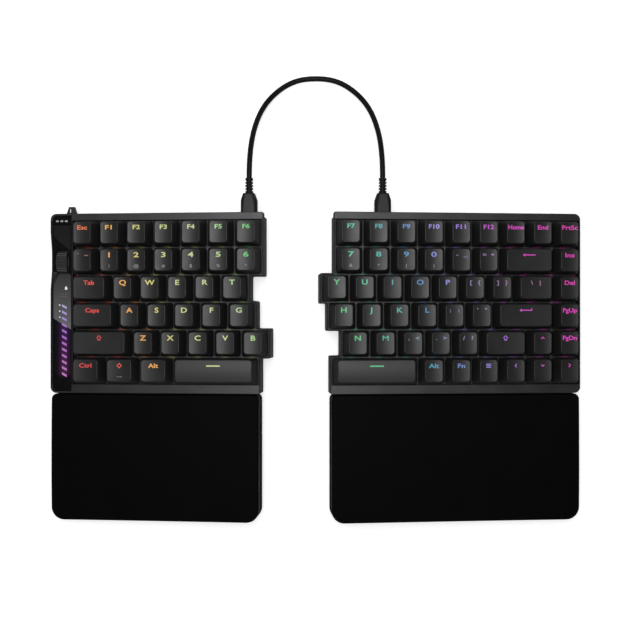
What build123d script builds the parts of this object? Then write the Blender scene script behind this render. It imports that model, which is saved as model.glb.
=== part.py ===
from build123d import *
import os
from math import cos, pi, radians, sin, tan

os.makedirs("parts", exist_ok=True)

# An ergonomic keyboard in two halves joined by a short cable, with a wrist rest in front of each half.
# Lengths are in millimetres. Each half is built flat, with x along its key rows and y towards its rear,
# from the outer left corner of its key field and the underside of its case. It is then tilted about its
# outer lower edge, so that its inner side stands higher, and set on the desk at z = 0.

# How the two halves stand
tent_angle = 5.0
outer_edge_lift = 1.0
half_gap = 45.8

# Key field
key_pitch = 19.05
key_travel = 3.5
row_count = 6
thumb_key_share = 3.125

# Case
inner_margin = 0.9
outer_margin = 1.5
rear_bezel = 5.1
front_bezel = 6.4
split_height = 11.0
frame_top = 18.0
floor_thickness = 2.0
case_corner = 4.2
step_corner = 1.0
rear_inner_cut = 3.2
fit_gap = 0.1
top_bevel = 0.45

# Control strip on the outer side of the left half
strip_width = 15.0
strip_wall = 2.6
strip_rail = 1.3
waist_depth = 1.0
waist_far = 106.5
waist_near = 66.0
waist_slope = 13.0
deck_bottom = 15.0
cover_thickness = 1.4
cover_rim = 2.0
cover_front_inset = 1.3
cover_corner = 2.6

# Accent plates and light guides of the control strip, placed from the outer face and the key field's front
accent_thickness = 0.7
accent_left = 2.3
accent_right = 14.9
accent_rear = 77.6
accent_rear_left = 67.0
accent_front_left = 46.0
accent_front_right = 38.2
accent_bevel = 1.6
facet_width = 5.2
facet_gap = 0.9
light_count = 12
light_pitch = 4.33
light_first = 6.5
light_inset = 10.1
light_width = 3.4
light_thickness = 1.6
light_slant_angle = 28.0
light_depth = 3.0
status_count = 3
status_pitch = 3.2
status_inset = 5.1
status_place = 114.1
status_width = 1.8
status_length = 1.0

# Scroll wheel and its yoke
wheel_radius = 8.8
wheel_width = 7.0
wheel_inset = 8.7
wheel_place = 85.4
wheel_height = 12.4
wheel_groove_count = 30
wheel_groove_radius = 0.5
wheel_side_gap = 0.4
axle_radius = 1.5
axle_clearance = 0.05
yoke_wall = 1.6
yoke_height = 5.0
yoke_end_gap = 0.6
yoke_end_wall = 1.8
yoke_travel = 0.6
yoke_guide_gap = 0.3
yoke_guide_thickness = 2.0
slot_gap = 0.5

# Switches, from the circuit board up
board_bottom = 4.9
board_thickness = 1.6
board_gap = 0.3
switch_base = 13.9
plate_hole = 14.0
plate_bottom = 10.0
plate_thickness = 1.5
plate_tab = 1.2
flange_size = 15.6
flange_thickness = 1.0
housing_height = 6.6
housing_taper_angle = 15.0
housing_root = 13.9
housing_floor = 1.0
bore_width = 7.4
bore_depth = 6.2
slider_gap = 0.2
cross_length = 4.0
cross_bar = 1.25
cross_height = 3.6
cross_fit = 0.05
spring_radius = 2.1
spring_wall = 0.4
spring_bore_gap = 0.2
spring_length = 8.1
spring_end_gap = 0.05
boss_radius = 2.4

# Key caps
cap_gap = 0.95
cap_lift = 6.1
cap_height = 10.0
cap_side_inset = 3.0
cap_front_inset = 2.1
cap_rear_inset = 1.3
cap_base_corner = 1.3
cap_top_corner = 2.2
cap_wall = 1.4
cap_roof = 1.9
cap_inner_corner = 0.6
cap_edge_round = 0.35
dish_depth = 0.55
thumb_crown = 0.7
post_radius = 2.8

# Case screws
screw_radius = 1.0
screw_head_radius = 1.9
screw_head_height = 1.3
screw_sink = 1.5
screw_length = 12.0
screw_hole_gap = 0.1
screw_grip_gap = 0.03
screw_edge = 2.2
rear_screw_shares = (0.06, 0.5, 0.84)
front_screw_shares = (0.06, 0.5, 0.94)

# Feet
rubber_inset = 3.0
rubber_width = 8.0
rubber_length = 34.0
rubber_end_inset = 6.0
foot_inset = 17.5
foot_thickness = 3.0
foot_length = 56.0
rest_foot_length = 44.0
foot_hinge_height = 1.6
foot_gap = 0.3
foot_pin_radius = 1.4
foot_pin_length = 2.0
foot_pin_clearance = 0.05
pocket_depth = 3.2
pocket_wall = 1.2
pocket_side_wall = 1.5

# Wrist rests
rest_depth = 89.0
rest_gap = 0.4
rest_inner_inset = 0.8
rest_front_corner = 9.0
rest_rear_corner = 4.0
rest_base_height = 6.0
rest_wall = 2.4
rest_rib = 1.6
rest_rib_count = 4
pad_inset = 0.1
pad_draw_in = 0.5
pad_draw_height = 4.0
pad_top = 17.6
pad_crown = 0.9
pad_edge_round = 1.4

# Ports, plugs and the cable between the halves
left_port_inset = 11.2
right_port_inset = 35.1
host_port_inset = 30.0
socket_width = 9.0
socket_height = 3.2
socket_length = 6.7
socket_wall = 0.25
socket_back = 0.7
socket_recess = 0.3
socket_gap = 0.2
tongue_width = 6.7
tongue_thickness = 0.7
tongue_length = 5.0
plug_gap = 0.1
plug_shell_wall = 0.3
plug_tip_length = 5.6
plug_width = 11.6
plug_height = 6.4
plug_body_length = 13.8
plug_shoulder_length = 8.5
plug_neck_width = 7.6
plug_corner = 2.0
relief_length = 10.6
relief_radius = 2.8
relief_end_radius = 2.7
relief_groove_count = 4
relief_groove_width = 1.1
relief_groove_depth = 0.7
cable_radius = 1.9

# Loop on the rear face of the left half
loop_inset = 8.7
loop_base_width = 7.8
loop_top_width = 4.2
loop_reach = 5.6
loop_root = 2.0
loop_height = 8.0
loop_thickness = 2.0
loop_slot_width = 1.1
loop_slot_length = 2.8
loop_leg = 1.5

# Battery
battery_length = 74.0
battery_width = 38.0
battery_thickness = 2.5
battery_inset = 30.0
battery_place = 36.0
battery_corner = 1.5

# Shared by all cuts that pass right through
overrun = 1.0

# Keys of each half: node, row counted from the rear, then in pitches where the first key starts and how
# wide each key is, and last how many keys stand side by side
left_key_shares = (
    ("left_function_keys", 0, 0.0, 1.0, 7),
    ("left_number_keys", 1, 0.0, 1.0, 7),
    ("tab_key", 2, 0.0, 1.5, 1),
    ("left_upper_letter_keys", 2, 1.5, 1.0, 5),
    ("caps_lock_key", 3, 0.0, 1.75, 1),
    ("left_home_letter_keys", 3, 1.75, 1.0, 5),
    ("left_shift_key", 4, 0.0, 2.25, 1),
    ("left_lower_letter_keys", 4, 2.25, 1.0, 5),
    ("left_modifier_keys", 5, 0.0, 1.25, 3),
    ("left_space_key", 5, 3.75, thumb_key_share, 1),
)
right_key_shares = (
    ("right_function_keys", 0, 0.0, 1.0, 9),
    ("right_number_keys", 1, 0.0, 1.0, 6),
    ("backspace_key", 1, 6.0, 2.0, 1),
    ("right_upper_letter_keys", 2, -0.5, 1.0, 7),
    ("backslash_key", 2, 6.5, 1.5, 1),
    ("right_home_letter_keys", 3, -0.25, 1.0, 6),
    ("enter_key", 3, 5.75, 2.25, 1),
    ("right_lower_letter_keys", 4, 0.25, 1.0, 5),
    ("right_shift_key", 4, 5.25, 1.75, 1),
    ("right_modifier_keys", 5, 3.0, 1.0, 3),
    ("right_space_key", 5, 3.0 - thumb_key_share, thumb_key_share, 1),
    ("navigation_keys", 1, 8.0, 1.0, 1),
    ("navigation_keys", 2, 8.0, 1.0, 1),
    ("navigation_keys", 3, 8.0, 1.0, 1),
    ("navigation_keys", 4, 7.0, 1.0, 2),
    ("navigation_keys", 5, 6.0, 1.0, 3),
)
thumb_keys = ("left_space_key", "right_space_key")

# The cable's route between the two strain reliefs, on the desk behind the halves: x, y, z
cable_points = (
    (-43.4, 169.8, 12.5),
    (-34.2, 188.9, 5.4),
    (-17.0, 202.7, 2.3),
    (0.3, 204.5, 2.0),
    (17.6, 202.7, 2.3),
    (34.8, 188.9, 5.4),
    (44.1, 169.8, 12.5),
)
cable_lead = 18.6
cable_arc_share = 0.45

field_depth = row_count * key_pitch
board_top = board_bottom + board_thickness
plate_top = plate_bottom + plate_thickness
housing_top = plate_top + housing_height
slider_height = housing_top - board_top - housing_floor - key_travel - slider_gap
cap_base = plate_top + cap_lift
cover_bottom = frame_top - cover_thickness
rest_rear = -front_bezel - rest_gap
rest_front = rest_rear - rest_depth
case_rear = field_depth + rear_bezel
part_centre_y = (case_rear + loop_reach + rest_front) / 2
port_height = board_top + socket_height / 2


def span_face(x_low, x_high, y_low, y_high):
    """A rectangle between these limits."""
    centre = Pos((x_low + x_high) / 2, (y_low + y_high) / 2)
    return centre * Rectangle(x_high - x_low, y_high - y_low)


def span_box(x_low, x_high, y_low, y_high, z_low, z_high):
    """A box between these limits."""
    return raised(span_face(x_low, x_high, y_low, y_high), z_low, z_high)


def raised(face, z_low, z_high):
    """A face drawn up from one height to another."""
    return Pos(0, 0, z_low) * extrude(face, amount=z_high - z_low)


def post(radius, x, y, z_low, z_high):
    """An upright cylinder."""
    return raised(Pos(x, y) * Circle(radius), z_low, z_high)


def polygon(points):
    """A face inside straight lines."""
    return make_face(Polyline(*points, close=True))


def rounded_at(face, corners, radius):
    """Round the corners of a face that lie at these places."""
    chosen = []
    for x, y in corners:
        chosen.append(face.vertices().sort_by_distance((x, y))[0])
    return fillet(chosen, radius)


class Half:
    """One half's layout: where its key rows end, and how it is set down."""

    def __init__(self, name, keys):
        self.name = name
        self.keys = keys
        self.inward = 1 if name == "left" else -1
        self.cells = self.key_cells()
        strip = strip_width if name == "left" else 0
        if name == "left":
            self.outer_x = -strip - outer_margin
        else:
            self.outer_x = self.row_span(0)[1] + outer_margin
        self.inner_x = self.inner_end(0)
        self.thumb_x = self.inner_end(row_count - 1)
        self.width = abs(self.inner_x - self.outer_x)

    def key_cells(self):
        """Every key as its node, row, centre and cell width."""
        cells = []
        for node, row, start, width, count in self.keys:
            for place in range(count):
                cell_width = width * key_pitch
                x = start * key_pitch + cell_width * place + cell_width / 2
                y = field_depth - row * key_pitch - key_pitch / 2
                cells.append((node, row, x, y, cell_width))
        return cells

    def row_span(self, row):
        """Where the cells of one row start and end."""
        starts = [x - width / 2 for node, r, x, y, width in self.cells if r == row]
        ends = [x + width / 2 for node, r, x, y, width in self.cells if r == row]
        return min(starts), max(ends)

    def inner_end(self, row):
        """The case's inner side at one row."""
        start, end = self.row_span(row)
        return end + inner_margin if self.inward > 0 else start - inner_margin

    def inset(self, distance):
        """The x that lies this far inside the outer face."""
        return self.outer_x + self.inward * distance

    def field(self):
        """The outline of all key cells, stepped on the inner side."""
        face = Sketch()
        for row in range(row_count):
            start, end = self.row_span(row)
            rear = field_depth - row * key_pitch
            face += span_face(start, end, rear - key_pitch, rear)
        return face

    def grown_field(self, amount):
        """The key field's outline, grown by this amount all round."""
        return offset(self.field(), amount=amount, kind=Kind.INTERSECTION)

    def outline(self):
        """The case's outline, with its bezels, its strip and rounded corners."""
        face = self.grown_field(inner_margin)
        low, high = sorted((self.outer_x, self.inner_x))
        face += span_face(low, high, field_depth, case_rear)
        low, high = sorted((self.outer_x, self.thumb_x))
        face += span_face(low, high, -front_bezel, 0)
        low, high = sorted((self.outer_x, self.inset(strip_wall)))
        if self.name == "left":
            high = 0
        face += span_face(low, high, -front_bezel, case_rear)
        corners = ((self.outer_x, -front_bezel), (self.outer_x, case_rear))
        face = rounded_at(face, corners, case_corner)
        sharp = [v for v in face.vertices() if abs(v.X - self.outer_x) > case_corner * 2]
        return fillet(sharp, step_corner)

    def waist(self):
        """The shallow hollow in the outer face beside the wheel."""
        x = self.outer_x
        return polygon((
            (x - overrun, waist_far + waist_slope * overrun / waist_depth),
            (x + waist_depth, waist_far - waist_slope),
            (x + waist_depth, waist_near + waist_slope),
            (x - overrun, waist_near - waist_slope * overrun / waist_depth),
        ))

    def place(self):
        """Where the flat half goes: tilted about its outer lower edge."""
        tilt = Rot(0, -tent_angle * self.inward, 0)
        on_desk = Pos(-self.inward * overall_width / 2, -part_centre_y, outer_edge_lift)
        return on_desk * tilt * Pos(-self.outer_x, 0, 0)

    def screw_places(self):
        """The case screws, in the rear and front bezels."""
        places = []
        start, end = self.row_span(0)
        for share in rear_screw_shares:
            places.append((start + share * (end - start), case_rear - screw_edge))
        start, end = self.row_span(row_count - 1)
        for share in front_screw_shares:
            places.append((start + share * (end - start), -front_bezel + screw_edge))
        return places

    def port_x(self):
        """The port for the cable between the halves."""
        inset = left_port_inset if self.name == "left" else right_port_inset
        return self.inner_x - self.inward * inset

    def foot_x(self):
        """The hinge of the tenting foot."""
        return self.inner_x - self.inward * foot_inset


left = Half("left", left_key_shares)
right = Half("right", right_key_shares)
overall_width = half_gap + (left.width + right.width) * cos(radians(tent_angle))
nodes = {}


def keep(name, half, solids):
    """Set pieces down with their half and store them under a node's name."""
    for solid in solids:
        nodes.setdefault(name, []).append(half.place() * solid)


def foot_reach(half):
    """How far the foot reaches from its hinge to the desk."""
    rise = abs(half.foot_x() - half.outer_x) * sin(radians(tent_angle))
    height = outer_edge_lift + rise + foot_hinge_height * cos(radians(tent_angle))
    return height / cos(radians(tent_angle)) + foot_thickness / 2 * tan(radians(tent_angle))


def foot_span(half, length, centre_y):
    """The pocket's limits across and along the half."""
    far = half.foot_x() - half.inward * (foot_reach(half) + foot_gap)
    near = half.foot_x() + half.inward * (foot_thickness / 2 + foot_gap)
    low, high = sorted((far, near))
    reach = length / 2 + foot_gap
    return low, high, centre_y - reach, centre_y + reach


def foot_pocket_block(half, length, centre_y):
    """The raised block round a foot's pocket."""
    x_low, x_high, y_low, y_high = foot_span(half, length, centre_y)
    side = pocket_side_wall
    end = foot_pin_length + pocket_side_wall
    return span_box(x_low - side, x_high + side, y_low - end, y_high + end, 0, pocket_depth + pocket_wall)


def foot_pocket(half, length, centre_y):
    """The pocket and the two pin holes that a foot folds into."""
    x_low, x_high, y_low, y_high = foot_span(half, length, centre_y)
    hollow = span_box(x_low, x_high, y_low, y_high, -overrun, pocket_depth)
    pin = foot_pin_radius + foot_pin_clearance
    reach = length / 2 + foot_pin_length + foot_gap
    hole = Rot(90, 0, 0) * Cylinder(pin, 2 * reach)
    return hollow + Pos(half.foot_x(), centre_y, foot_hinge_height) * hole


def tent_foot(half, length, centre_y):
    """A flip-out foot with its pins, cut level with the desk."""
    half_thickness = foot_thickness / 2
    drop = foot_reach(half) + overrun
    x = half.foot_x()
    y_low = centre_y - length / 2
    y_high = centre_y + length / 2
    leg = span_box(x - half_thickness, x + half_thickness, y_low, y_high, foot_hinge_height - drop,
                   foot_hinge_height)
    centre = Pos(x, centre_y, foot_hinge_height)
    root = centre * (Rot(90, 0, 0) * Cylinder(half_thickness, length))
    pins = centre * (Rot(90, 0, 0) * Cylinder(foot_pin_radius, length + 2 * foot_pin_length))
    foot = half.place() * (leg + root + pins)
    return above_desk(foot)


def above_desk(solid):
    """What is left of a solid above the desk's surface."""
    return solid - Pos(0, 0, -overall_width / 2) * Box(2 * overall_width, 2 * overall_width, overall_width)


def rubber_strips(half, spans):
    """Wedge-shaped rubber strips along the outer lower edge, level with the desk."""
    low, high = sorted((half.inset(rubber_inset), half.inset(rubber_inset + rubber_width)))
    strips = []
    for y_low, y_high in spans:
        strip = span_box(low, high, y_low, y_high, -outer_edge_lift - rubber_width, 0)
        strips.append(above_desk(half.place() * strip))
    return strips


def bottom_case(half):
    """The lower shell: floor, walls, plate seat, bosses, screw holes, port and foot pocket."""
    face = half.outline()
    corner_x = half.inner_x
    face -= polygon((
        (corner_x - half.inward * rear_inner_cut, case_rear + overrun),
        (corner_x + half.inward * overrun, case_rear + overrun),
        (corner_x + half.inward * overrun, case_rear - rear_inner_cut),
        (corner_x, case_rear - rear_inner_cut),
        (corner_x - half.inward * rear_inner_cut, case_rear),
    ))
    if half.name == "left":
        face -= half.waist()
    case = raised(face, 0, split_height)
    hollow = half.grown_field(fit_gap)
    if half.name == "left":
        hollow += span_face(half.inset(strip_wall), 0, 0, field_depth)
    case -= raised(hollow, floor_thickness, split_height + overrun)
    case -= raised(plate_face(half, fit_gap), plate_bottom, split_height + overrun)
    foot_y = field_depth / 2
    case += foot_pocket_block(half, foot_length, foot_y)
    case -= foot_pocket(half, foot_length, foot_y)
    for x, y in boss_places(half):
        case += post(boss_radius, x, y, floor_thickness, board_bottom)
    for x, y in half.screw_places():
        case -= post(screw_head_radius + screw_hole_gap, x, y, -overrun, screw_sink)
        case -= post(screw_radius + screw_hole_gap, x, y, 0, split_height + overrun)
    for x in port_places(half):
        case -= port_opening(x)
    if half.name == "left":
        case += yoke_guides(half)
        case -= loop_body(half, fit_gap / 2)
    return case


def plate_face(half, gap):
    """The switch plate's outline: the key field and a tab under each bezel."""
    face = half.grown_field(gap)
    start, end = half.row_span(0)
    face += span_face(start - gap, end + gap, field_depth - key_pitch, field_depth + plate_tab + gap)
    start, end = half.row_span(row_count - 1)
    face += span_face(start - gap, end + gap, -plate_tab - gap, key_pitch)
    return face


def boss_places(half):
    """Where the board rests on the floor: between the keys of the first, third and last rows."""
    places = []
    x_low, x_high, y_low, y_high = foot_span(half, foot_length, field_depth / 2)
    for row in (0, row_count // 2, row_count - 1):
        start, end = half.row_span(row)
        y = field_depth - row * key_pitch - key_pitch / 2
        for x in (start + key_pitch / 2, (start + end) / 2, end - key_pitch / 2):
            beside_pocket = x_low - key_pitch / 2 < x < x_high + key_pitch / 2
            if not (beside_pocket and y_low - key_pitch / 2 < y < y_high + key_pitch / 2):
                places.append((x, y))
    return places


def port_places(half):
    """Every port in the rear wall of one half."""
    if half.name == "left":
        return half.port_x(), half.inset(host_port_inset)
    return (half.port_x(),)


def port_opening(x):
    """The opening for a port in the rear wall."""
    width = socket_width / 2 + socket_gap
    low = board_top - socket_gap
    high = board_top + socket_height + socket_gap
    return span_box(x - width, x + width, field_depth - key_pitch / 2, case_rear + overrun, low, high)


def top_frame(half):
    """The upper frame: bezels round the key well, and the deck of the control strip."""
    face = half.outline()
    if half.name == "left":
        face -= half.waist()
    frame = raised(face, split_height, frame_top)
    top = frame.faces().sort_by(Axis.Z)[-1]
    frame = chamfer(top.outer_wire().edges(), top_bevel)
    frame -= raised(half.grown_field(fit_gap), split_height - overrun, frame_top + overrun)
    frame -= raised(plate_face(half, fit_gap), split_height - overrun, plate_top + fit_gap)
    if half.name == "left":
        low = half.inset(strip_wall)
        rail = -strip_rail
        frame -= span_box(low, rail, 0, field_depth, split_height - overrun, deck_bottom)
        frame -= raised(cover_face(half, fit_gap), cover_bottom, frame_top + overrun)
        frame -= wheel_slot(half)
        bar = light_span(half)
        frame -= span_box(*bar, deck_bottom - overrun, cover_bottom + overrun)
        frame -= span_box(*status_span(half), deck_bottom - overrun, cover_bottom + overrun)
    for x, y in half.screw_places():
        frame -= post(screw_radius + screw_grip_gap, x, y, split_height - overrun,
                      screw_sink + screw_length + screw_grip_gap)
    return frame


def cover_face(half, gap):
    """The glossy cover of the control strip."""
    low = half.inset(cover_rim) - gap
    high = -strip_rail + gap
    front = -front_bezel + cover_front_inset - gap
    rear = case_rear - cover_front_inset + gap
    face = span_face(low, high, front, rear)
    return rounded_at(face, ((low, front), (low, rear)), cover_corner + gap)


def wheel_slot(half):
    """The slot that the wheel stands up through."""
    reach = (wheel_radius ** 2 - (cover_bottom - wheel_height) ** 2) ** (1 / 2) + slot_gap
    deck_reach = (wheel_radius ** 2 - (deck_bottom - wheel_height) ** 2) ** (1 / 2) + slot_gap
    wide = wheel_width / 2 + slot_gap
    x = half.inset(wheel_inset)
    y = wheel_place
    upper = span_box(x - wide, x + wide, y - reach, y + reach, cover_bottom, frame_top + overrun)
    lower = span_box(x - wide, x + wide, y - deck_reach, y + deck_reach, deck_bottom - overrun, cover_bottom)
    return upper + lower


def light_span(half):
    """The space under the row of light guides."""
    x = half.inset(light_inset)
    reach = light_width / 2 + slot_gap
    last = light_first + light_pitch * (light_count - 1)
    return x - reach, x + reach, light_first - light_pitch / 2, last + light_pitch / 2


def status_span(half):
    """The space under the status lights."""
    first = half.inset(status_inset)
    last = first + status_pitch * (status_count - 1)
    wide = status_width / 2 + slot_gap
    deep = status_length / 2 + slot_gap
    return first - wide, last + wide, status_place - deep, status_place + deep


def light_faces(half, gap):
    """The slanted light guides and the status lights, seen from above."""
    wide = light_width / 2 + gap
    lean = wide * tan(radians(light_slant_angle))
    thick = light_thickness / 2 + gap
    x = half.inset(light_inset)
    faces = []
    for place in range(light_count):
        y = light_first + light_pitch * place
        faces.append(polygon((
            (x - wide, y + lean + thick),
            (x + wide, y - lean + thick),
            (x + wide, y - lean - thick),
            (x - wide, y + lean - thick),
        )))
    for place in range(status_count):
        centre = Pos(half.inset(status_inset) + status_pitch * place, status_place)
        faces.append(centre * Rectangle(status_width + 2 * gap, status_length + 2 * gap))
    return faces


def accent_faces(half):
    """The main accent plate and the small one behind it."""
    low = half.inset(accent_left)
    high = half.inset(accent_right)
    shoulder = high - accent_bevel
    main = polygon((
        (low, accent_rear_left),
        (shoulder - (accent_rear - accent_rear_left), accent_rear),
        (shoulder, accent_rear),
        (high, accent_rear - accent_bevel),
        (high, accent_front_right),
        (low, accent_front_left),
    ))
    small = polygon((
        (low, accent_rear + facet_gap),
        (low + facet_width, accent_rear + facet_gap),
        (low, accent_rear_left + facet_gap * 2),
    ))
    return [main, small]


def strip_cover(half):
    """The glossy cover with its slot, its light holes and the seats of the accent plates."""
    cover = raised(cover_face(half, 0), cover_bottom, frame_top)
    cover -= wheel_slot(half)
    for face in light_faces(half, fit_gap / 2):
        cover -= raised(face, cover_bottom - overrun, frame_top + overrun)
    for face in accent_faces(half):
        seat = offset(face, amount=fit_gap / 2, kind=Kind.INTERSECTION)
        cover -= raised(seat, frame_top - accent_thickness, frame_top + overrun)
    return cover


def accent_plates(half):
    """The grey plates set into the cover."""
    plates = []
    for face in accent_faces(half):
        plate = raised(face, frame_top - accent_thickness, frame_top)
        for hole in light_faces(half, fit_gap / 2):
            plate -= raised(hole, frame_top - accent_thickness - overrun, frame_top + overrun)
        plate -= wheel_slot(half)
        plates.append(plate)
    return plates


def light_guides(half):
    """Clear guides that carry light up to the strip's surface."""
    return [raised(face, frame_top - light_depth, frame_top) for face in light_faces(half, 0)]


def yoke_limits(half):
    """The yoke's outer and inner half sizes and its centre."""
    inner_x = wheel_width / 2 + wheel_side_gap
    inner_y = wheel_radius + yoke_end_gap
    return half.inset(wheel_inset), inner_x, inner_x + yoke_wall, inner_y, inner_y + yoke_end_wall


def wheel_yoke(half):
    """The frame that carries the wheel's axle and dips when the wheel is pressed."""
    x, inner_x, outer_x, inner_y, outer_y = yoke_limits(half)
    low = wheel_height - yoke_height / 2
    high = wheel_height + yoke_height / 2
    y = wheel_place
    ring = span_box(x - outer_x, x + outer_x, y - outer_y, y + outer_y, low, high)
    ring -= span_box(x - inner_x, x + inner_x, y - inner_y, y + inner_y, low - overrun, high + overrun)
    hole = Rot(0, 90, 0) * Cylinder(axle_radius + axle_clearance, 2 * outer_x + overrun)
    return ring - Pos(x, y, wheel_height) * hole


def yoke_guides(half):
    """Posts at the yoke's ends, with a shoulder under each that stops its travel."""
    x, inner_x, outer_x, inner_y, outer_y = yoke_limits(half)
    low = wheel_height - yoke_height / 2
    high = split_height
    guides = Part()
    for side in (-1, 1):
        near = wheel_place + side * (outer_y + yoke_guide_gap)
        far = near + side * yoke_guide_thickness
        y_low, y_high = sorted((near, far))
        guides += span_box(x - inner_x, x + inner_x, y_low, y_high, floor_thickness, high)
        step = wheel_place + side * (inner_y + yoke_guide_gap)
        y_low, y_high = sorted((step, near))
        top = low - yoke_travel - fit_gap
        guides += span_box(x - inner_x, x + inner_x, y_low, y_high, floor_thickness, top)
    return guides


def scroll_wheel(half):
    """The grooved wheel with its axle."""
    wheel = Cylinder(wheel_radius, wheel_width)
    for place in range(wheel_groove_count):
        turn = Rot(0, 0, 360 * place / wheel_groove_count)
        wheel -= turn * Pos(wheel_radius, 0, 0) * Cylinder(wheel_groove_radius, wheel_width + overrun)
    axle_length = wheel_width + 2 * wheel_side_gap + 2 * yoke_wall
    wheel += Cylinder(axle_radius, axle_length)
    return Pos(half.inset(wheel_inset), wheel_place, wheel_height) * Rot(0, 90, 0) * wheel


def switch_plate(half):
    """The metal plate with a square hole for each switch."""
    plate = raised(plate_face(half, 0), plate_bottom, plate_top)
    holes = Part()
    for node, row, x, y, width in half.cells:
        hole = Pos(x, y, (plate_bottom + plate_top) / 2) * Box(plate_hole, plate_hole, plate_thickness * 2)
        holes += hole
    return plate - holes


def circuit_board(half):
    """The board that the switches are soldered to."""
    return raised(half.grown_field(-board_gap), board_bottom, board_top)


def switch_housing():
    """One switch housing, open at the top for its slider."""
    lower = Pos(0, 0, board_top) * extrude(Rectangle(switch_base, switch_base), plate_top - board_top)
    flange = raised(Rectangle(flange_size, flange_size), plate_top, plate_top + flange_thickness)
    upper_height = housing_height - flange_thickness
    upper = extrude(Rectangle(housing_root, housing_root), upper_height, taper=housing_taper_angle)
    housing = lower + flange + Pos(0, 0, plate_top + flange_thickness) * upper
    bore = Rectangle(bore_width, bore_depth)
    return housing - raised(bore, board_top + housing_floor, housing_top + overrun)


def cross_face(gap):
    """The cross that a cap grips."""
    return (Rectangle(cross_length + 2 * gap, cross_bar + 2 * gap)
            + Rectangle(cross_bar + 2 * gap, cross_length + 2 * gap))


def switch_slider():
    """The sliding stem with the bore for its spring and the cross on its top."""
    face = Rectangle(bore_width - 2 * slider_gap, bore_depth - 2 * slider_gap)
    slider = raised(face, housing_top - slider_height, housing_top)
    slider += raised(cross_face(0), housing_top, housing_top + cross_height)
    bore_top = board_top + housing_floor + spring_length
    return slider - post(spring_radius + spring_bore_gap, 0, 0, 0, bore_top)


def switch_spring():
    """A sleeve in the place of one coil spring."""
    low = board_top + housing_floor + spring_end_gap
    high = board_top + housing_floor + spring_length - spring_end_gap
    return post(spring_radius, 0, 0, low, high) - post(spring_radius - spring_wall, 0, 0, 0, frame_top)


def cap_blank(base_x, base_y, inset, height, base_corner, top_corner):
    """A tapering block with rounded corners, the form of a key cap."""
    base = RectangleRounded(base_x - 2 * inset, base_y - 2 * inset, base_corner)
    top_x = base_x - 2 * cap_side_inset - 2 * inset
    top_y = base_y - cap_front_inset - cap_rear_inset - 2 * inset
    shift = (cap_front_inset - cap_rear_inset) / 2
    top = Pos(0, shift, height) * RectangleRounded(top_x, top_y, top_corner)
    return loft([base, top], ruled=True)


def key_cap(cell_width, is_thumb_key):
    """One hollow key cap, its lower edge at its height in the half."""
    base_x = cell_width - cap_gap
    base_y = key_pitch - cap_gap
    cap = cap_blank(base_x, base_y, 0, cap_height, cap_base_corner, cap_top_corner)
    if is_thumb_key:
        reach = (base_y - cap_front_inset - cap_rear_inset) / 2
        radius = (reach ** 2 + thumb_crown ** 2) / (2 * thumb_crown)
        crown = Rot(0, 90, 0) * Cylinder(radius, base_x + overrun)
        shift = (cap_front_inset - cap_rear_inset) / 2
        cap = cap & Pos(0, shift, cap_height - radius) * crown
    else:
        reach = (base_x - 2 * cap_side_inset) / 2
        radius = (reach ** 2 + dish_depth ** 2) / (2 * dish_depth)
        dish = Rot(90, 0, 0) * Cylinder(radius, base_y + overrun)
        cap = cap - Pos(0, 0, cap_height - dish_depth + radius) * dish
    cap = fillet(top_edges(cap), cap_edge_round)
    inner_height = cap_height - cap_roof
    cap -= cap_blank(base_x, base_y, cap_wall, inner_height, cap_inner_corner, cap_inner_corner)
    post_low = housing_top - cap_base
    cap += post(post_radius, 0, 0, post_low, inner_height + cap_roof / 4)
    cap -= raised(cross_face(cross_fit), post_low - overrun, post_low + cross_height + fit_gap)
    return Pos(0, 0, cap_base) * cap


def top_edges(cap):
    """The edges round a cap's upper face."""
    upper = cap.faces().sort_by(Axis.Z)[-1]
    return upper.outer_wire().edges()


def rest_face(half, inset):
    """A wrist rest's outline, drawn in by this much."""
    low, high = sorted((half.outer_x, half.thumb_x - half.inward * rest_inner_inset))
    low += inset
    high -= inset
    front = rest_front + inset
    rear = rest_rear - inset
    face = span_face(low, high, front, rear)
    face = rounded_at(face, ((low, front), (high, front)), rest_front_corner - inset)
    return rounded_at(face, ((low, rear), (high, rear)), rest_rear_corner - inset)


def rest_base(half):
    """The hard tray under a wrist rest, with ribs and the foot's pocket."""
    base = raised(rest_face(half, 0), 0, rest_base_height)
    hollow = raised(rest_face(half, rest_wall), floor_thickness, rest_base_height + overrun)
    low, high = sorted((half.outer_x, half.thumb_x))
    for place in range(rest_rib_count):
        x = low + (high - low) * (place + 1) / (rest_rib_count + 1)
        hollow -= span_box(x - rest_rib / 2, x + rest_rib / 2, rest_front, rest_rear, 0,
                           rest_base_height + 2 * overrun)
    base -= hollow
    foot_y = (rest_front + rest_rear) / 2
    base += foot_pocket_block(half, rest_foot_length, foot_y)
    return base - foot_pocket(half, rest_foot_length, foot_y)


def rest_pad(half):
    """The padded top of a wrist rest: sides drawn in below, crowned above, with rounded edges."""
    foot = Pos(0, 0, rest_base_height) * rest_face(half, pad_inset + pad_draw_in)
    belly_height = rest_base_height + pad_draw_height
    belly = Pos(0, 0, belly_height) * rest_face(half, pad_inset)
    pad = loft([foot, belly], ruled=True)
    pad += raised(rest_face(half, pad_inset), belly_height, pad_top)
    reach = rest_depth / 2
    radius = (reach ** 2 + pad_crown ** 2) / (2 * pad_crown)
    crown = Rot(0, 90, 0) * Cylinder(radius, 2 * overall_width)
    pad = pad & Pos(0, (rest_front + rest_rear) / 2, pad_top - radius) * crown
    return fillet(top_edges(pad), pad_edge_round)


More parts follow.
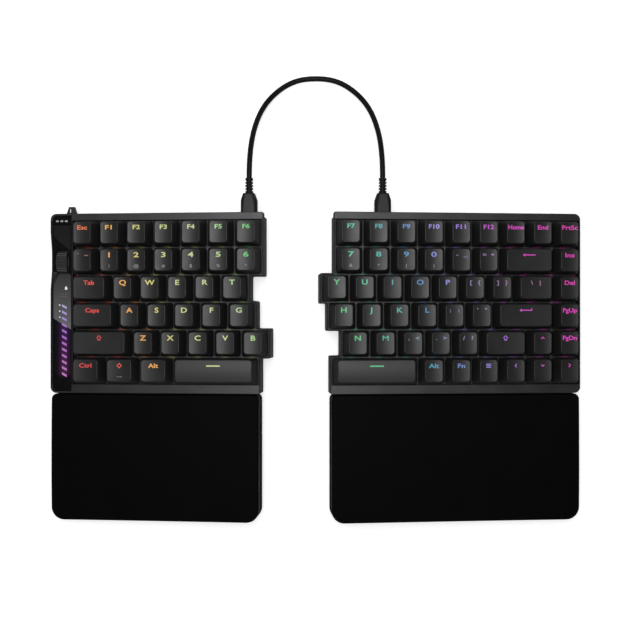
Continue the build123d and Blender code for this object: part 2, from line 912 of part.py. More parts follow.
def case_screws(half):
    """The screws that pull the two shells together."""
    screws = []
    for x, y in half.screw_places():
        head = post(screw_head_radius, x, y, screw_sink - screw_head_height, screw_sink)
        shank = post(screw_radius, x, y, screw_sink, screw_sink + screw_length)
        slot = post(screw_radius * 3 / 4, x, y, 0, screw_sink - screw_head_height / 2)
        screws.append(head + shank - slot)
    return screws


def port_sockets(half):
    """The sockets behind the rear wall's ports, each with its tongue."""
    sockets = []
    for x in port_places(half):
        rear = case_rear - socket_recess
        front = rear - socket_length
        top = board_top + socket_height
        shell = span_box(x - socket_width / 2, x + socket_width / 2, front, rear, board_top, top)
        wide = socket_width / 2 - socket_wall
        shell -= span_box(x - wide, x + wide, front + socket_back, rear + overrun,
                          board_top + socket_wall, top - socket_wall)
        tongue = tongue_thickness / 2
        shell += span_box(x - tongue_width / 2, x + tongue_width / 2, front, front + tongue_length,
                          port_height - tongue, port_height + tongue)
        sockets.append(shell)
    return sockets


def plug_profile(width, length):
    """The plug's body seen from above, drawn in towards the cable."""
    wide = width / 2
    neck = plug_neck_width / 2
    return polygon((
        (-wide, 0),
        (wide, 0),
        (wide, plug_shoulder_length),
        (neck, length),
        (-neck, length),
        (-wide, plug_shoulder_length),
    ))


def plug(half):
    """The cable's plug: its metal tip in the port, its moulded body and ribbed strain relief."""
    body = raised(plug_profile(plug_width, plug_body_length), -plug_height / 2, plug_height / 2)
    long_edges = body.edges().filter_by(Axis.Y)
    body = fillet(long_edges, plug_corner)
    relief = Cone(relief_radius, relief_end_radius, relief_length)
    pitch = relief_length / (relief_groove_count + 1)
    for place in range(relief_groove_count):
        z = pitch * (place + 1) - relief_length / 2
        groove = Cylinder(relief_radius * 2, relief_groove_width) - Cylinder(
            relief_end_radius - relief_groove_depth, relief_groove_width)
        relief -= Pos(0, 0, z) * groove
    relief = Pos(0, plug_body_length + relief_length / 2, 0) * Rot(-90, 0, 0) * relief
    body += relief
    tip_x = socket_width / 2 - socket_wall - plug_gap
    tip_z = socket_height / 2 - socket_wall - plug_gap
    start = -plug_tip_length - socket_recess
    tip = span_box(-tip_x, tip_x, start, 0, -tip_z, tip_z)
    wall = plug_shell_wall
    tip -= span_box(-tip_x + wall, tip_x - wall, start - overrun, -wall, -tip_z + wall, tip_z - wall)
    place = Pos(half.port_x(), case_rear + plug_gap, port_height)
    return [place * body, place * tip]


def cable_exit(half):
    """Where the cable leaves its strain relief, in the part's frame."""
    local = Pos(half.port_x(), case_rear + plug_gap + plug_body_length + relief_length, port_height)
    return (half.place() * local).position


def link_cable():
    """The cable between the halves: straight runs joined by tangent arcs."""
    first = cable_exit(left)
    last = cable_exit(right)
    lead = Vector(0, cable_lead, 0)
    route = [first, first + lead] + [Vector(*point) for point in cable_points] + [last + lead, last]
    radii = []
    for before, corner, after in zip(route, route[1:], route[2:]):
        run_in = corner - before
        run_out = after - corner
        turn = radians(run_in.get_angle(run_out))
        radii.append(cable_arc_share * min(run_in.length, run_out.length) / tan(turn / 2))
    path = FilletPolyline(*route, radius=radii)
    section = Plane(origin=first, z_dir=lead) * Circle(cable_radius)
    cable = sweep(section, path=path)
    print("cable points", [tuple(round(value, 1) for value in point) for point in route])
    print("cable radii", [round(radius, 1) for radius in radii])
    print("cable length", round(path.length, 1))
    print("cable volume over section", round(cable.volume / (cable_radius ** 2 * pi), 1))
    return cable


def loop_body(half, gap):
    """The loop's trapezoid with its root in the rear wall."""
    x = half.inset(loop_inset)
    wide = loop_base_width
    lean = (loop_base_width - loop_top_width) / 2
    face = polygon((
        (x - gap, case_rear - loop_root - gap),
        (x + wide + gap, case_rear - loop_root - gap),
        (x + wide + gap, case_rear),
        (x + wide - lean + gap, case_rear + loop_reach),
        (x + lean - gap, case_rear + loop_reach),
        (x - gap, case_rear),
    ))
    return raised(face, loop_height - gap, loop_height + loop_thickness + gap)


def strap_loop(half):
    """The small loop with its slot."""
    x = half.inset(loop_inset) + loop_leg
    low = case_rear + loop_leg
    slot = span_box(x + loop_leg / 2, x + loop_leg / 2 + loop_slot_width, low, low + loop_slot_length, 0,
                    frame_top)
    return loop_body(half, 0) - slot


def battery(half):
    """The flat battery on the floor, under the board."""
    low = half.inset(battery_inset)
    face = span_face(low, low + battery_width, battery_place - battery_width / 2,
                     battery_place - battery_width / 2 + battery_length)
    cell = raised(face, floor_thickness, floor_thickness + battery_thickness)
    return fillet(cell.edges().filter_by(Axis.Z), battery_corner)


def add_half(half):
    """All pieces of one half, its rest and its feet."""
    side = half.name
    keep(side + "_bottom_case", half, [bottom_case(half)])
    keep(side + "_top_frame", half, [top_frame(half)])
    keep(side + "_switch_plate", half, [switch_plate(half)])
    keep(side + "_circuit_board", half, [circuit_board(half)])
    housing = switch_housing()
    slider = switch_slider()
    spring = switch_spring()
    caps = {}
    for node, row, x, y, width in half.cells:
        cap_kind = (round(width / key_pitch, 3), node in thumb_keys)
        if cap_kind not in caps:
            caps[cap_kind] = key_cap(width, node in thumb_keys)
        at_key = Pos(x, y, 0)
        keep(side + "_switch_housings", half, [at_key * housing])
        keep(side + "_switch_springs", half, [at_key * spring])
        keep(node, half, [at_key * caps[cap_kind], at_key * slider])
    keep(side + "_case_screws", half, case_screws(half))
    keep(side + "_port_sockets", half, port_sockets(half))
    keep(side + "_plug", half, plug(half))
    spans = (
        (rubber_end_inset, rubber_end_inset + rubber_length),
        (field_depth - rubber_end_inset - rubber_length, field_depth - rubber_end_inset),
    )
    nodes[side + "_rubber_feet"] = rubber_strips(half, spans)
    nodes[side + "_tent_foot"] = [tent_foot(half, foot_length, field_depth / 2)]
    keep(side + "_rest_base", half, [rest_base(half)])
    keep(side + "_rest_pad", half, [rest_pad(half)])
    rest_centre = (rest_front + rest_rear) / 2
    spans = ((rest_centre - rubber_length, rest_centre + rubber_length),)
    nodes[side + "_rest_rubber_foot"] = rubber_strips(half, spans)
    nodes[side + "_rest_tent_foot"] = [tent_foot(half, rest_foot_length, rest_centre)]


def add_strip(half):
    """The control strip's own pieces."""
    keep("strip_cover", half, [strip_cover(half)])
    keep("accent_plates", half, accent_plates(half))
    keep("light_guides", half, light_guides(half))
    keep("wheel_yoke", half, [wheel_yoke(half)])
    keep("scroll_wheel", half, [scroll_wheel(half)])
    keep("strap_loop", half, [strap_loop(half)])
    keep("battery", half, [battery(half)])


add_half(left)
add_half(right)
add_strip(left)
nodes["link_cable"] = [link_cable()]

for name, solids in nodes.items():
    pieces = []
    for solid in solids:
        pieces.extend(solid.solids())
    whole = Compound(label=name, children=pieces) if len(pieces) > 1 else pieces[0]
    export_step(whole, "parts/" + name + ".step")
    print(name, len(pieces))
print("nodes", len(nodes))
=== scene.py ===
"""A split keyboard on a pale floor: materials, legends, lights and soft pads on its frame."""

from math import cos, pi, radians, sin, sqrt

import bmesh
import bpy
from mathutils import Matrix, Vector, noise


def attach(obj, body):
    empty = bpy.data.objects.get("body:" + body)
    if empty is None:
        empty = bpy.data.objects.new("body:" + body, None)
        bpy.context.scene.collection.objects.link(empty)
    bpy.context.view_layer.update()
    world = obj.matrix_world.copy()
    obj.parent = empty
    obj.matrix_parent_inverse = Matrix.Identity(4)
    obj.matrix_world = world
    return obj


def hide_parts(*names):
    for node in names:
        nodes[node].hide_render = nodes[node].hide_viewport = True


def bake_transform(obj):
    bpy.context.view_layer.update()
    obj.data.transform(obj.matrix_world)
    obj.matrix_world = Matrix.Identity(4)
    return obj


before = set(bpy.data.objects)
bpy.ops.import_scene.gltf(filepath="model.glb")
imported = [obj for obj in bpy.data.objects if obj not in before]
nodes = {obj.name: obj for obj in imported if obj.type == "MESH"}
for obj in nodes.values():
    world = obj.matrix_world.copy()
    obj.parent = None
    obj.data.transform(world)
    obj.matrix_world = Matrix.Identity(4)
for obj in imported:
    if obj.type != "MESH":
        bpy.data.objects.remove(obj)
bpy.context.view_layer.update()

# Lengths of the keyboard are in millimetres, as in the part's own source; MM takes them to metres
MM = 0.001

# How the halves stand
tent_angle = 5.0
outer_edge_lift = 1.0
overall_width = 369.165
part_centre_y = 14.6
outer_x = {"left": -16.5, "right": 172.95}
thumb_x = {"left": 131.869, "right": -3.281}
inward = {"left": 1, "right": -1}

# Keys
key_pitch = 19.05
row_count = 6
field_depth = row_count * key_pitch
cap_gap = 0.95
cap_top = 27.6
cap_base = 17.6
cap_side_inset = 3.0
cap_top_shift = 0.4
cap_top_reach = 7.35
dish_depth = 0.55
thumb_crown = 0.7
thumb_keys = ("left_space_key", "right_space_key")

# Legends
legend_thickness = 0.06
legend_lift = legend_thickness / 4
legend_weld = 0.002
legend_row = 3.5
second_row = -4.2
letter_height = 3.3
word_height = 2.85
second_height = 2.0
pair_height = 2.6
pair_reach = 5.8
legend_weight = 0.1
second_weight = 0.03
letter_stretch = 1.3
digit_stretch = 1.6
word_stretch = 1.2
word_pitch = 2.0
word_ends = 1.6
even_share = 0.55

# Control strip: its top, and the line along which its lights stand
frame_top = 18.0
strip_light_x = -6.4
strip_light_ends = (8.0, 53.0)

# The strip's plain badge place and printed marks, measured from its outer edge
badge_outline = ((2.7, 103.4), (13.3, 94.1), (14.7, 94.1), (14.7, 110.8), (2.7, 110.8))
badge_sink = 0.05
badge_rise = 0.3
badge_bevel = 0.24
drop_place = (11.4, 67.3)
drop_tip = 1.5
drop_radius = 0.95
drop_middle = -0.45
dot_place = (6.8, 55.3)
dot_radius = 0.48
dot_pitch = 4.25
dash_x = 7.4
dash_pitch = 1.9
dash_rows = ((1.0, 0.45, 63.0), (1.3, 0.4, 61.2))

# Inset faces of the plugs: the middle, rear wall and top of each plug, and the outline from there
plug_x = {"left": 123.05, "right": 34.2}
plug_rear = 119.5
plug_top = 11.3
plug_face_outline = ((-3.9, 0.4), (3.9, 0.4), (3.5, 7.4), (2.2, 13.0), (-2.2, 13.0), (-3.5, 7.4))
plug_face_sink = 0.2
plug_face_rise = 0.25
plug_face_bevel = 0.2

# Wrist rests
rest_front = -95.8
rest_rear = -6.8
rest_base_height = 6.0
rest_inner_inset = 0.8

# Their soft tops. The profile gives each ring of the side: how far it is drawn in, and how high it
# stands on the base
pad_inset = 0.1
pad_top = 17.6
pad_sink = 0.15
pad_crown = 0.9
pad_edge_round = 1.4
pad_corners = {"front": 8.9, "rear": 3.9}
pad_least_corner = 0.02
pad_profile = ((0.5, 0.05), (0.33, 1.2), (0.16, 2.6), (0.02, 4.0))
pad_pull = 0.08
pad_wave = 0.12
pad_wave_length = 26.0
pad_arc_steps = 7
pad_side_steps = (18, 30)
pad_edge_steps = 8
pad_top_steps = 12
pad_top_spacing = 1.15
pad_weld = 0.03

# Cable: radius, and its route in the part's frame
cable_radius = 1.9
cable_points = (
    (-46.3, 129.3, 21.2),
    (-46.3, 147.9, 21.2),
    (-43.4, 169.8, 12.5),
    (-34.2, 188.9, 5.4),
    (-17.0, 202.7, 2.3),
    (0.3, 204.5, 2.0),
    (17.6, 202.7, 2.3),
    (34.8, 188.9, 5.4),
    (44.1, 169.8, 12.5),
    (47.1, 147.9, 21.2),
    (47.1, 129.3, 21.2),
)

# Materials: where in the noise the tone drifts, between which parts of its normal that point up a
# face turns from side to top for
#  the painted shade on sides, and how much rougher a side is where a material has painted shade on
#  its sides
drift_range = (0.3, 0.7)
facing_range = (0.45, 0.92)
side_roughness = 0.42

# The dark metal frame: where its bezels end before and behind the keys, and the share of their
#  colour that is left beside the keys, as painted shade there
bezel_metallic = 0.75
front_bezel_edge = (-0.5, -0.2)
rear_bezel_edge = (field_depth + 0.2, field_depth + 0.5)
painted_shade_beside_keys = 0.08

# Strengths of what glows, the painted light of the key lamps on caps, plate and strip among them,
# and how far the glow reaches up a cap and away from the strip's lights
cap_glow = 0.09
cap_glow_height = 4.0
plate_glow = 0.13
strip_glow = 0.11
strip_glow_reach = (3.4, 2.0)
guide_glow = 0.85
legend_glow = 1.05
pale_glow = 0.6
pale_share = 0.45
pale_color = (0.34, 0.33, 0.40, 1)
second_glow = 0.10
mark_glow = 0.3

# Turns of the springs, drawn on plain sleeves
coil_scale = 260.0
coil_depth = 0.2

# Camera, in metres
camera_place = (0.00325, 0.0302, 0.6788)
camera_lens = 52.85
camera_sensor = 36.0

# Floor and room, in metres and strengths: the floor brightens outwards, and the room is dimmer
# overhead
floor_reach = 6.0
floor_fade = (0.35, 1.4)
floor_near = 0.6
floor_in_gloss = 0.25
overhead_fade = (0.2, 0.7)
overhead_in_gloss = 0.05
ambient_strength = 0.16

# Lamps: place, the point that it is aimed at, size and power
lamps = {
    "overhead": ((-0.035, 0.13, 0.82), (0.0, 0.06, 0.0), (0.42, 0.42), 4.2),
    "front_fill": ((0.0, -0.9, 0.55), (0.0, 0.0, 0.0), (1.2, 0.5), 0.6),
    "rear_fill": ((0.0, 0.95, 0.55), (0.0, 0.0, 0.0), (1.2, 0.5), 0.6),
}

# Key legends: node, row counted from the rear, where its first key starts and how wide each key is
# in pitches, then one legend per key. A digit and its sign are parted by a bar, two signs by a
# space, and a word in capitals with an underscore in front is a drawn mark.
left_legends = (
    ("left_function_keys", 0, 0.0, 1.0, ("Esc", "F1", "F2", "F3", "F4", "F5", "F6")),
    ("left_number_keys", 1, 0.0, 1.0, ("` ~", "1|!", "2|@", "3|#", "4|$", "5|%", "6|^")),
    ("tab_key", 2, 0.0, 1.5, ("Tab",)),
    ("left_upper_letter_keys", 2, 1.5, 1.0, ("Q", "W", "E", "R", "T")),
    ("caps_lock_key", 3, 0.0, 1.75, ("Caps",)),
    ("left_home_letter_keys", 3, 1.75, 1.0, ("A", "S", "D", "F", "G")),
    ("left_shift_key", 4, 0.0, 2.25, ("_SHIFT",)),
    ("left_lower_letter_keys", 4, 2.25, 1.0, ("Z", "X", "C", "V", "B")),
    ("left_modifier_keys", 5, 0.0, 1.25, ("Ctrl", "_DIAMOND", "Alt")),
    ("left_space_key", 5, 3.75, 3.125, ("_BAR",)),
)
right_legends = (
    ("right_function_keys", 0, 0.0, 1.0,
     ("F7", "F8", "F9", "F10", "F11", "F12", "Home", "End", "PrtSc")),
    ("right_number_keys", 1, 0.0, 1.0, ("7|&", "8|*", "9|(", "0|)", "- _", "= +")),
    ("backspace_key", 1, 6.0, 2.0, ("_BACK",)),
    ("right_upper_letter_keys", 2, -0.5, 1.0, ("Y", "U", "I", "O", "P", "[ {", "] }")),
    ("backslash_key", 2, 6.5, 1.5, ("\\ |",)),
    ("right_home_letter_keys", 3, -0.25, 1.0, ("H", "J", "K", "L", "; :", "' \"")),
    ("enter_key", 3, 5.75, 2.25, ("_ENTER",)),
    ("right_lower_letter_keys", 4, 0.25, 1.0, ("N", "M", ", <", ". >", "/ ?")),
    ("right_shift_key", 4, 5.25, 1.75, ("_SHIFT",)),
    ("right_modifier_keys", 5, 3.0, 1.0, ("Alt", "Fn", "_MENU")),
    ("right_space_key", 5, -0.125, 3.125, ("_BAR",)),
    ("navigation_keys", 1, 8.0, 1.0, ("Ins",)),
    ("navigation_keys", 2, 8.0, 1.0, ("Del",)),
    ("navigation_keys", 3, 8.0, 1.0, ("PgUp",)),
    ("navigation_keys", 4, 7.0, 1.0, ("_UP", "PgDn")),
    ("navigation_keys", 5, 6.0, 1.0, ("_LEFT", "_DOWN", "_RIGHT")),
)

# Colours of the key lights from left to right: place along X in metres, then the colour
wave_stops = (
    (-0.150, (0.560, 0.010, 0.012)),
    (-0.139, (0.600, 0.022, 0.014)),
    (-0.133, (0.680, 0.065, 0.018)),
    (-0.118, (0.700, 0.260, 0.045)),
    (-0.106, (0.680, 0.370, 0.070)),
    (-0.099, (0.560, 0.480, 0.110)),
    (-0.085, (0.480, 0.520, 0.150)),
    (-0.060, (0.460, 0.520, 0.220)),
    (-0.040, (0.380, 0.520, 0.200)),
    (-0.022, (0.070, 0.430, 0.090)),
    (0.000, (0.090, 0.430, 0.070)),
    (0.030, (0.030, 0.420, 0.110)),
    (0.055, (0.030, 0.400, 0.220)),
    (0.072, (0.022, 0.290, 0.280)),
    (0.088, (0.026, 0.180, 0.370)),
    (0.105, (0.120, 0.165, 0.470)),
    (0.115, (0.250, 0.210, 0.600)),
    (0.135, (0.270, 0.110, 0.580)),
    (0.150, (0.400, 0.045, 0.480)),
    (0.165, (0.520, 0.020, 0.400)),
    (0.210, (0.550, 0.012, 0.300)),
)
wave_slant = 0.35

# Colours of the strip's lights from front to rear: place along Y in metres, then the colour
strip_stops = (
    (-0.010, (0.500, 0.140, 0.460)),
    (0.008, (0.420, 0.100, 0.480)),
    (0.024, (0.300, 0.090, 0.520)),
    (0.034, (0.340, 0.260, 0.600)),
    (0.046, (0.400, 0.380, 0.600)),
    (0.060, (0.340, 0.340, 0.360)),
)

# Greys of the strip's plates from front to rear, in the same way
accent_stops = (
    (0.022, (0.240, 0.232, 0.240)),
    (0.040, (0.125, 0.122, 0.126)),
    (0.062, (0.052, 0.050, 0.053)),
)

# Where the key lights stand along each gap between rows, from the front, as a share of the pitch,
# and how far one reaches along the gap and across it
light_shares = (0.6, 0.75, 0.25, 0.0, 0.5)
light_reach = (2.1, 1.1)


def half_place(side):
    """The matrix that sets a flat half down, tilted about its outer lower edge."""
    tilt = Matrix.Rotation(radians(-tent_angle * inward[side]), 4, "Y")
    desk = Matrix.Translation((-inward[side] * overall_width / 2, -part_centre_y, outer_edge_lift))
    return desk @ tilt @ Matrix.Translation((-outer_x[side], 0, 0))


def feed(tree, socket, value):
    """Set a socket to a value, or link another socket to it."""
    if isinstance(value, bpy.types.NodeSocket):
        tree.links.new(value, socket)
    else:
        socket.default_value = value


def maths(tree, operation, *values):
    """The result of one step of arithmetic."""
    node = tree.nodes.new("ShaderNodeMath")
    node.operation = operation
    for socket, value in zip(node.inputs, values):
        feed(tree, socket, value)
    return node.outputs[0]


def part_point(tree):
    """The point in the part's frame, in metres."""
    return tree.nodes.new("ShaderNodeTexCoord").outputs["Object"]


def split(tree, vector):
    """The three parts of a vector."""
    node = tree.nodes.new("ShaderNodeSeparateXYZ")
    tree.links.new(vector, node.inputs[0])
    return node.outputs[0], node.outputs[1], node.outputs[2]


def half_point(tree, side, unit):
    """The point in one half's flat frame, each direction in its own unit."""
    mapping = tree.nodes.new("ShaderNodeMapping")
    mapping.vector_type = "TEXTURE"
    mapping.inputs["Location"].default_value = half_place(side) @ Vector((0, 0, 0)) * MM
    mapping.inputs["Rotation"].default_value = (0, radians(-tent_angle * inward[side]), 0)
    mapping.inputs["Scale"].default_value = unit
    tree.links.new(part_point(tree), mapping.inputs["Vector"])
    return split(tree, mapping.outputs[0])


def cloud(tree, scale, detail, stretch=(1, 1, 1)):
    """Noise of this scale, in turns per metre."""
    point = part_point(tree)
    if stretch != (1, 1, 1):
        mapping = tree.nodes.new("ShaderNodeMapping")
        mapping.inputs["Scale"].default_value = stretch
        tree.links.new(point, mapping.inputs["Vector"])
        point = mapping.outputs[0]
    node = tree.nodes.new("ShaderNodeTexNoise")
    tree.links.new(point, node.inputs["Vector"])
    node.inputs["Scale"].default_value = scale
    node.inputs["Detail"].default_value = detail
    return node.outputs[0]


def spread(tree, value, low, high, to_low, to_high):
    """A value taken from one range to another, and kept inside it."""
    node = tree.nodes.new("ShaderNodeMapRange")
    for socket, setting in zip(node.inputs, (value, low, high, to_low, to_high)):
        feed(tree, socket, setting)
    return node.outputs[0]


def ramp(tree, value, stops, steps=False):
    """A colour picked by a value between 0 and 1."""
    node = tree.nodes.new("ShaderNodeValToRGB")
    colors = node.color_ramp
    colors.interpolation = "CONSTANT" if steps else "LINEAR"
    for place, color in stops[2:]:
        colors.elements.new(place)
    for element, (place, color) in zip(colors.elements, stops):
        element.position = place
        element.color = (*color, 1)
    feed(tree, node.inputs[0], value)
    return node.outputs[0]


def along(tree, value, stops):
    """A colour picked by a place in metres."""
    low, high = stops[0][0], stops[-1][0]
    shares = [((place - low) / (high - low), color) for place, color in stops]
    return ramp(tree, spread(tree, value, low, high, 0, 1), shares)


def bell(tree, *offsets):
    """A soft spot: 1 where every offset is 0, falling away as they grow."""
    total = 0
    for offset in offsets:
        total = maths(tree, "ADD", maths(tree, "MULTIPLY", offset, offset), total)
    return maths(tree, "EXPONENT", maths(tree, "MULTIPLY", total, -1))


def painted_side_shade(tree, painted_shade_side_share):
    """1 on a face that looks up, and this share on one that looks sideways: painted shade on the
    sides.
    """
    normal = split(tree, tree.nodes.new("ShaderNodeNewGeometry").outputs["Normal"])
    return spread(tree, normal[2], *facing_range, painted_shade_side_share, 1.0)


def dimmed(tree, color, share):
    """A colour taken down to a share of itself."""
    node = tree.nodes.new("ShaderNodeVectorMath")
    node.operation = "SCALE"
    tree.links.new(color, node.inputs[0])
    feed(tree, node.inputs["Scale"], share)
    return node.outputs[0]


def wave_color(tree):
    """The colour of the key lights at a point."""
    x, y, _ = split(tree, part_point(tree))
    return along(tree, maths(tree, "ADD", x, maths(tree, "MULTIPLY", y, wave_slant)), wave_stops)


def strip_color(tree):
    """The colour of the strip's lights at a point."""
    return along(tree, split(tree, part_point(tree))[1], strip_stops)


def key_glow(tree, side):
    """Painted spots of light in the gaps between the rows, and the height above the case's
    underside.
    """
    x, y, z = half_point(tree, side, (key_pitch * MM, key_pitch * MM, MM))
    gap = maths(tree, "ROUND", y)
    stops = []
    for place, share in enumerate(light_shares):
        stops.append(((place + 0.5) / row_count, (share, share, share)))
    start = ramp(tree, maths(tree, "DIVIDE", gap, row_count), stops, steps=True)
    across = maths(tree, "SUBTRACT", x, start)
    across = maths(tree, "SUBTRACT", across, maths(tree, "ROUND", across))
    across = maths(tree, "MULTIPLY", across, key_pitch / light_reach[0])
    inner_gap = maths(tree, "MINIMUM", maths(tree, "MAXIMUM", gap, 1), row_count - 1)
    deep = maths(tree, "SUBTRACT", y, inner_gap)
    deep = maths(tree, "MULTIPLY", deep, key_pitch / light_reach[1])
    return bell(tree, across, deep), z


def finish(name, color, roughness, metallic=0.0, specular=0.5, grain=6000.0, depth=0.02,
           mottle=90.0, tone=0.12, wear=0.05, stretch=(1, 1, 1), painted_shade_side_share=1.0):
    """A material with a fine grain, a broad drift of tone and gloss, and painted shade on its sides
    if wanted.
    """
    material = bpy.data.materials.new(name)
    material.use_nodes = True
    tree = material.node_tree
    shader = tree.nodes["Principled BSDF"]
    shader.inputs["Metallic"].default_value = metallic
    shader.inputs["Specular IOR Level"].default_value = specular
    drift = cloud(tree, mottle, 3.0)
    low = tuple(value * (1 - tone) for value in color)
    high = tuple(value * (1 + tone) for value in color)
    tint = ramp(tree, drift, tuple(zip(drift_range, (low, high))))
    gloss = spread(tree, drift, *drift_range, roughness - wear, roughness + wear)
    # Painted shade: the colour is taken down on faces that look sideways
    if painted_shade_side_share < 1:
        facing = painted_side_shade(tree, painted_shade_side_share)
        tint = dimmed(tree, tint, facing)
        aside = maths(tree, "SUBTRACT", 1, facing)
        gloss = maths(tree, "ADD", gloss, maths(tree, "MULTIPLY", aside, side_roughness))
    tree.links.new(tint, shader.inputs["Base Color"])
    tree.links.new(gloss, shader.inputs["Roughness"])
    bump = tree.nodes.new("ShaderNodeBump")
    bump.inputs["Distance"].default_value = depth * MM
    tree.links.new(cloud(tree, grain, 2.0, stretch), bump.inputs["Height"])
    tree.links.new(bump.outputs[0], shader.inputs["Normal"])
    return material


def shine(material, color, strength):
    """Give a material its own light."""
    tree = material.node_tree
    shader = tree.nodes["Principled BSDF"]
    feed(tree, shader.inputs["Emission Color"], color)
    feed(tree, shader.inputs["Emission Strength"], strength)


def cap_finish(side, name, tint, roughness):
    """Matte key caps with painted shade on their sides, and painted light from below where they
    face a gap between rows.
    """
    material = finish(side + name, (tint, tint, tint), roughness, specular=0.42, grain=9000.0,
                      depth=0.012, tone=0.06, wear=0.03, painted_shade_side_share=0.1)
    tree = material.node_tree
    glow, height = key_glow(tree, side)
    low = spread(tree, height, cap_base, cap_base + cap_glow_height, cap_glow, 0)
    shine(material, wave_color(tree), maths(tree, "MULTIPLY", glow, low))
    return material


def frame_finish(side):
    """Dark metal along the rear and front bezels, and painted shade beside the keys: near black and
    less metallic there, with painted shade on its sides.
    """
    material = finish(side + "_frame_metal", (0.052, 0.052, 0.054), 0.4, metallic=bezel_metallic,
                      specular=0.3, grain=8000.0, depth=0.01, tone=0.05, painted_shade_side_share=0.15)
    tree = material.node_tree
    shader = tree.nodes["Principled BSDF"]
    _, y, _ = half_point(tree, side, (MM, MM, MM))
    # Painted shade beside the keys, between the two bezels
    rear = spread(tree, y, *rear_bezel_edge, painted_shade_beside_keys, 1)
    front = spread(tree, y, *front_bezel_edge, 1, painted_shade_beside_keys)
    bezel = maths(tree, "MAXIMUM", rear, front)
    tint = shader.inputs["Base Color"].links[0].from_socket
    tree.links.new(dimmed(tree, tint, bezel), shader.inputs["Base Color"])
    feed(tree, shader.inputs["Metallic"], maths(tree, "MULTIPLY", bezel, bezel_metallic))
    return material


def lit_finish(name, side, color, roughness, metallic):
    """A piece under the keys with painted light from the keys' lamps, and painted shade on its
    sides.
    """
    material = finish(name, color, roughness, metallic=metallic, grain=5000.0, painted_shade_side_share=0.3)
    tree = material.node_tree
    glow, _ = key_glow(tree, side)
    shine(material, wave_color(tree), maths(tree, "MULTIPLY", glow, plate_glow))
    return material


def strip_gloss():
    """The glossy black strip, with a faint painted glow beside its row of lights."""
    material = finish("strip_gloss", (0.0035, 0.0035, 0.004), 0.16, grain=1200.0, depth=0.001,
                      mottle=260.0, wear=0.03)
    tree = material.node_tree
    x, y, _ = half_point(tree, "left", (MM, MM, MM))
    sideways, endways = strip_glow_reach
    beside = maths(tree, "MULTIPLY", maths(tree, "SUBTRACT", x, strip_light_x), 1 / sideways)
    low, high = strip_light_ends
    middle = maths(tree, "SUBTRACT", y, (low + high) / 2)
    past = maths(tree, "SUBTRACT", maths(tree, "ABSOLUTE", middle), (high - low) / 2)
    past = maths(tree, "MULTIPLY", maths(tree, "MAXIMUM", past, 0), 1 / endways)
    glow = maths(tree, "MULTIPLY", bell(tree, beside, past), strip_glow)
    shine(material, strip_color(tree), glow)
    return material


def accent_finish():
    """Warm grey plates, brushed along the strip and paler towards their front."""
    material = finish("accent_metal", accent_stops[-1][1], 0.34, metallic=0.4, grain=2500.0,
                      depth=0.006, tone=0.1, stretch=(1, 0.04, 1))
    tree = material.node_tree
    shader = tree.nodes["Principled BSDF"]
    tint = along(tree, split(tree, part_point(tree))[1], accent_stops)
    tree.links.new(tint, shader.inputs["Base Color"])
    return material


def guide_finish():
    """Frosted light guides, coloured by their place along the strip."""
    material = finish("light_guide", (0.08, 0.08, 0.09), 0.4, grain=3000.0, tone=0.04)
    shine(material, strip_color(material.node_tree), guide_glow)
    return material


def legend_finish():
    """Clear legends that glow in the colour of their place."""
    material = finish("legend", (0.05, 0.05, 0.05), 0.4, grain=7000.0, tone=0.05)
    shine(material, wave_color(material.node_tree), legend_glow)
    return material


def pale_legend_finish():
    """Legends of the keys with two signs: paler and dimmer."""
    material = finish("legend_pale", (0.05, 0.05, 0.05), 0.4, grain=7000.0, tone=0.05)
    tree = material.node_tree
    mix = tree.nodes.new("ShaderNodeMix")
    mix.data_type = "RGBA"
    mix.inputs[0].default_value = pale_share
    tree.links.new(wave_color(tree), mix.inputs[6])
    mix.inputs[7].default_value = pale_color
    shine(material, mix.outputs[2], pale_glow)
    return material


def coil_finish():
    """Spring steel with the turns of a coil along its length."""
    material = finish("spring_steel", (0.55, 0.55, 0.56), 0.3, metallic=1.0)
    tree = material.node_tree
    turns = tree.nodes.new("ShaderNodeTexWave")
    turns.bands_direction = "Z"
    turns.inputs["Scale"].default_value = coil_scale
    tree.links.new(part_point(tree), turns.inputs["Vector"])
    bump = tree.nodes["Bump"]
    bump.inputs["Distance"].default_value = coil_depth * MM
    tree.links.new(turns.outputs[1], bump.inputs["Height"])
    return material


def mesh_of(data):
    """The mesh of a curve or of words."""
    holder = bpy.data.objects.new("holder", data)
    bpy.context.collection.objects.link(holder)
    bpy.context.view_layer.update()
    mesh = bpy.data.meshes.new_from_object(holder)
    bpy.data.objects.remove(holder)
    return mesh


def words_mesh(words, height, stretch, weight=legend_weight):
    """Words as a thin closed mesh, centred, with capitals of this height and evened widths."""
    curve = bpy.data.curves.new("words", "FONT")
    curve.body = words
    curve.align_x = "CENTER"
    curve.size = height / capital_share
    curve.offset = weight
    curve.extrude = legend_thickness / 2
    curve.resolution_u = 3
    mesh = mesh_of(curve)
    if len(words) > 1:
        places = [vertex.co.x for vertex in mesh.vertices]
        even = (word_pitch * len(words) + word_ends) / (max(places) - min(places))
        stretch = stretch + (even - stretch) * even_share
    mesh.transform(Matrix.Diagonal((stretch, 1, 1, 1)) @ Matrix.Translation((0, -height / 2, 0)))
    return mesh


def outline_mesh(outlines):
    """A thin closed mesh inside these outlines; an outline inside another is a hole."""
    curve = bpy.data.curves.new("outline", "CURVE")
    curve.dimensions = "2D"
    curve.fill_mode = "BOTH"
    curve.extrude = legend_thickness / 2
    for outline in outlines:
        spline = curve.splines.new("POLY")
        spline.points.add(len(outline) - 1)
        for point, (x, y) in zip(spline.points, outline):
            point.co = (x, y, 0, 1)
        spline.use_cyclic_u = True
    return mesh_of(curve)


